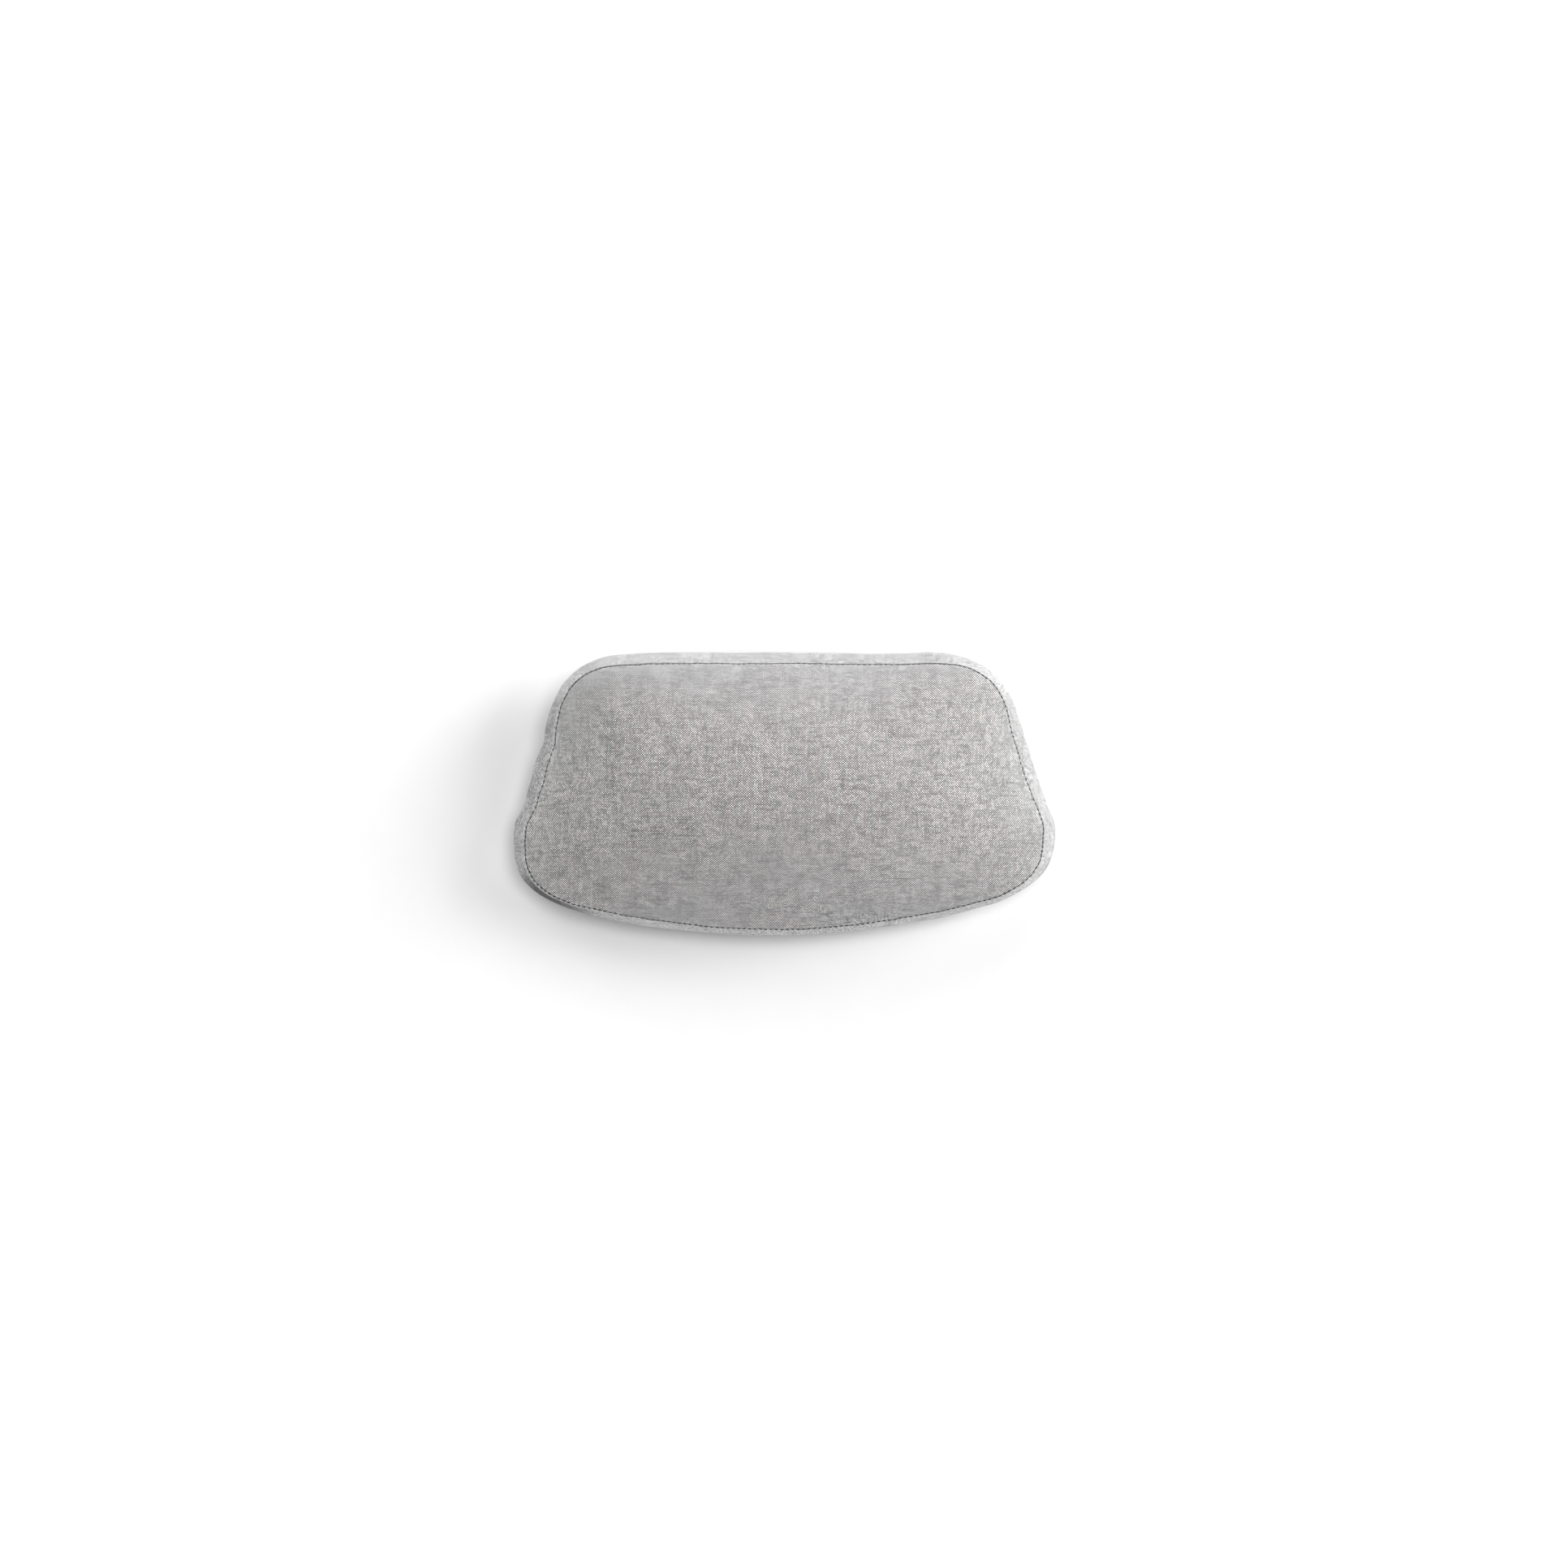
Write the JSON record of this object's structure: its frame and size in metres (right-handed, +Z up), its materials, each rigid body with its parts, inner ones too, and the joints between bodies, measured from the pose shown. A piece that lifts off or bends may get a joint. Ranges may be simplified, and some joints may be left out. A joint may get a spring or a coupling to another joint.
{
  "type": "chair armrest pad",
  "caption": "Plump trapezoid armrest pad with a domed fabric top, a topstitched flange all round, a zip along the rear wall and hook strips under the flat base.",
  "frame": {"origin": "centre of the bounding box in plan, on the plane the hook strips rest on", "axes": "+X to the right along the length of the pad, +Y towards the straight rear edge, +Z up out of the domed top"},
  "size_m": [0.3596, 0.1868, 0.08],
  "materials": {
    "top_panel": "light grey melange plain weave",
    "base_panel": "light grey melange plain weave",
    "zip_panel": "light grey melange plain weave",
    "topstitch_upper": "dark grey spun thread",
    "topstitch_lower": "dark grey spun thread",
    "zip_tape_upper": "woven grey tape",
    "zip_tape_lower": "woven grey tape",
    "zip_coil_upper": "grey nylon filament",
    "zip_coil_lower": "grey nylon filament",
    "zip_slider": "satin plated die casting",
    "zip_pull": "satin plated die casting",
    "zip_top_stop_upper": "satin plated crimp",
    "zip_top_stop_lower": "satin plated crimp",
    "zip_bottom_stop": "satin plated crimp",
    "zip_stitch_upper": "dark grey spun thread",
    "zip_stitch_lower": "dark grey spun thread",
    "hook_strip_front": "charcoal moulded hooks on a woven backing",
    "hook_strip_rear": "charcoal moulded hooks on a woven backing",
    "hook_stitch_front": "dark grey spun thread",
    "hook_stitch_rear": "dark grey spun thread",
    "foam_core": "cream open-cell foam",
    "wadding_top": "white fibre wadding",
    "wadding_base": "white fibre wadding",
    "base_stiffener": "plain pressed board"
  },
  "bodies": {
    "pad": {"top_panel": "top_panel", "base_panel": "base_panel", "zip_panel": "zip_panel", "topstitch_upper": "topstitch_upper", "topstitch_lower": "topstitch_lower", "zip_tape_upper": "zip_tape_upper", "zip_tape_lower": "zip_tape_lower", "zip_coil_upper": "zip_coil_upper", "zip_coil_lower": "zip_coil_lower", "zip_top_stop_upper": "zip_top_stop_upper", "zip_top_stop_lower": "zip_top_stop_lower", "zip_bottom_stop": "zip_bottom_stop", "zip_stitch_upper": "zip_stitch_upper", "zip_stitch_lower": "zip_stitch_lower", "hook_strip_front": "hook_strip_front", "hook_strip_rear": "hook_strip_rear", "hook_stitch_front": "hook_stitch_front", "hook_stitch_rear": "hook_stitch_rear", "foam_core": "foam_core", "wadding_top": "wadding_top", "wadding_base": "wadding_base", "base_stiffener": "base_stiffener"},
    "slider": {"zip_slider": "zip_slider"},
    "pull": {"zip_pull": "zip_pull"}
  },
  "joints": [
    {"name": "zip_slider_travel", "type": "slide", "parent": "pad", "child": "slider", "axis": [-1, 0, 0], "range_m": [0, 0.157]},
    {"name": "zip_pull_flip", "type": "hinge", "parent": "slider", "child": "pull", "pos_m": [0.0775, 0.08104, 0.02085], "axis": [0, -0.3758, -0.9267], "range_deg": [0, 175], "stiffness_Nm_per_rad": 0.0002, "springref_deg": -20.05}
  ]
}
